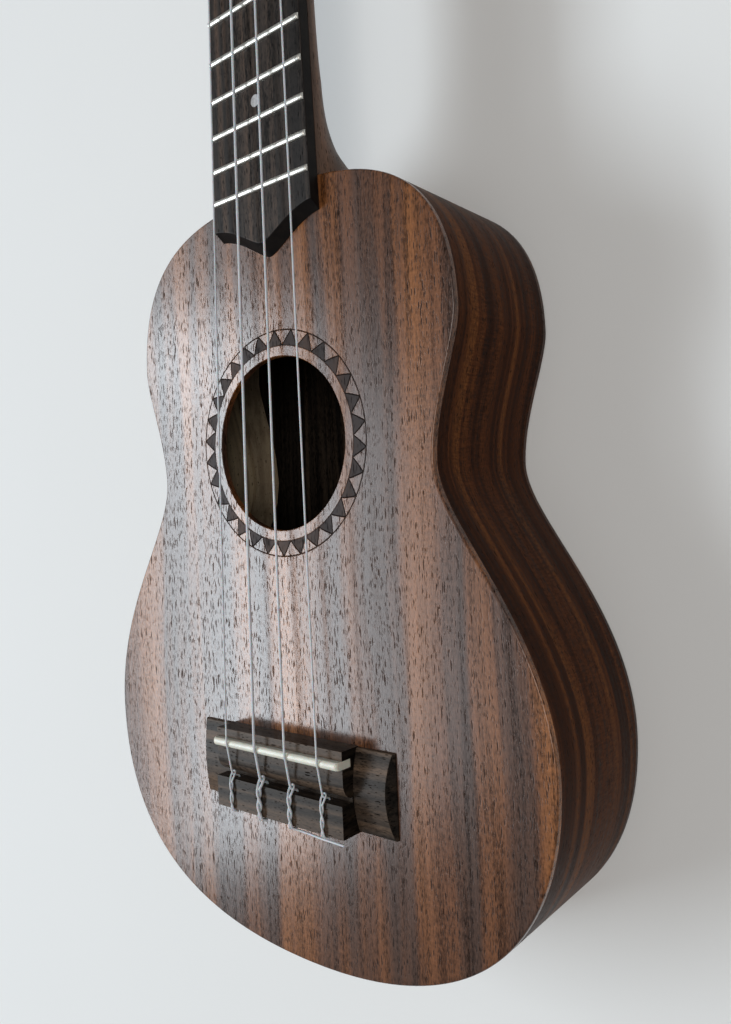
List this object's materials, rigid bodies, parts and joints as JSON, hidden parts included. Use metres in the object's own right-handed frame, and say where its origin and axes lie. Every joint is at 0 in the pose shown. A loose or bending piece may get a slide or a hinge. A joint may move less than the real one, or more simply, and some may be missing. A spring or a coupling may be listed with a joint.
{
  "type": "soprano ukulele",
  "caption": "Small waisted plucked instrument with a flat soundboard, round soundhole, tied bridge, fretted neck and geared tuners on a tilted headstock.",
  "frame": {"origin": "centre of the footprint at the underside, midway between the tail of the body and the end of the headstock", "axes": "+X to the treble side, +Y along the neck towards the headstock, +Z out of the soundboard; the instrument lies on its back"},
  "size_m": [0.181, 0.5147, 0.0628],
  "materials": {
    "soundboard_wood": "satin, open pores",
    "rib_wood": "satin",
    "neck_wood": "matte",
    "dark_wood": "matte, open pores",
    "inner_wood": "raw",
    "fret_metal": "polished nickel silver",
    "dot_shell": "polished",
    "bone": "polished",
    "nylon": "smooth, milky",
    "tuner_steel": "nickel plated",
    "post_brass": "polished",
    "button_plastic": "polished"
  },
  "bodies": {
    "instrument": {"back_brace_lower": "inner_wood", "back_brace_upper": "inner_wood", "back_lining_bass": "inner_wood", "back_lining_treble": "inner_wood", "back_panel": "rib_wood", "bridge": "dark_wood", "bridge_plate": "inner_wood", "dot_05": "dot_shell", "dot_07": "dot_shell", "dot_10": "dot_shell", "fret_01": "fret_metal", "fret_02": "fret_metal", "fret_03": "fret_metal", "fret_04": "fret_metal", "fret_05": "fret_metal", "fret_06": "fret_metal", "fret_07": "fret_metal", "fret_08": "fret_metal", "fret_09": "fret_metal", "fret_10": "fret_metal", "fret_11": "fret_metal", "fret_12": "fret_metal", "fretboard": "dark_wood", "heel_cap": "dark_wood", "neck": "neck_wood", "neck_block": "inner_wood", "nut": "bone", "saddle": "bone", "side_bass": "rib_wood", "side_treble": "rib_wood", "soundboard": "soundboard_wood", "string_a": "nylon", "string_c": "nylon", "string_e": "nylon", "string_g": "nylon", "tail_block": "inner_wood", "top_brace_lower": "inner_wood", "top_brace_upper": "inner_wood", "top_lining_bass": "inner_wood", "top_lining_treble": "inner_wood", "tuner_bush_a": "tuner_steel", "tuner_bush_c": "tuner_steel", "tuner_bush_e": "tuner_steel", "tuner_bush_g": "tuner_steel", "tuner_plate_a": "tuner_steel", "tuner_plate_c": "tuner_steel", "tuner_plate_e": "tuner_steel", "tuner_plate_g": "tuner_steel"},
    "worm_g": {"tuner_worm_g": "tuner_steel", "tuner_button_g": "button_plastic"},
    "post_g": {"tuner_post_g": "post_brass"},
    "worm_c": {"tuner_worm_c": "tuner_steel", "tuner_button_c": "button_plastic"},
    "post_c": {"tuner_post_c": "post_brass"},
    "worm_e": {"tuner_worm_e": "tuner_steel", "tuner_button_e": "button_plastic"},
    "post_e": {"tuner_post_e": "post_brass"},
    "worm_a": {"tuner_worm_a": "tuner_steel", "tuner_button_a": "button_plastic"},
    "post_a": {"tuner_post_a": "post_brass"}
  },
  "joints": [
    {"name": "worm_g_turn", "type": "hinge", "parent": "instrument", "child": "worm_g", "pos_m": [-0.0146, 0.19319, 0.02952], "axis": [-1, 0, 0], "continuous": true},
    {"name": "post_g_turn", "type": "hinge", "parent": "instrument", "child": "post_g", "pos_m": [-0.0146, 0.18891, 0.04618], "axis": [0, 0.2079, 0.9781], "continuous": true, "deforming": ["string_g"]},
    {"name": "worm_c_turn", "type": "hinge", "parent": "instrument", "child": "worm_c", "pos_m": [-0.0146, 0.23036, 0.02162], "axis": [-1, 0, 0], "continuous": true},
    {"name": "post_c_turn", "type": "hinge", "parent": "instrument", "child": "post_c", "pos_m": [-0.0146, 0.22608, 0.03828], "axis": [0, 0.2079, 0.9781], "continuous": true, "deforming": ["string_c"]},
    {"name": "worm_e_turn", "type": "hinge", "parent": "instrument", "child": "worm_e", "pos_m": [0.0146, 0.23036, 0.02162], "axis": [1, 0, 0], "continuous": true},
    {"name": "post_e_turn", "type": "hinge", "parent": "instrument", "child": "post_e", "pos_m": [0.0146, 0.22608, 0.03828], "axis": [0, 0.2079, 0.9781], "continuous": true, "deforming": ["string_e"]},
    {"name": "worm_a_turn", "type": "hinge", "parent": "instrument", "child": "worm_a", "pos_m": [0.0146, 0.19319, 0.02952], "axis": [1, 0, 0], "continuous": true},
    {"name": "post_a_turn", "type": "hinge", "parent": "instrument", "child": "post_a", "pos_m": [0.0146, 0.18891, 0.04618], "axis": [0, 0.2079, 0.9781], "continuous": true, "deforming": ["string_a"]}
  ],
  "couplings": [
    {"joint": "post_g_turn", "follows": "worm_g_turn", "ratio": 0.071429},
    {"joint": "post_c_turn", "follows": "worm_c_turn", "ratio": 0.071429},
    {"joint": "post_e_turn", "follows": "worm_e_turn", "ratio": 0.071429},
    {"joint": "post_a_turn", "follows": "worm_a_turn", "ratio": 0.071429}
  ]
}
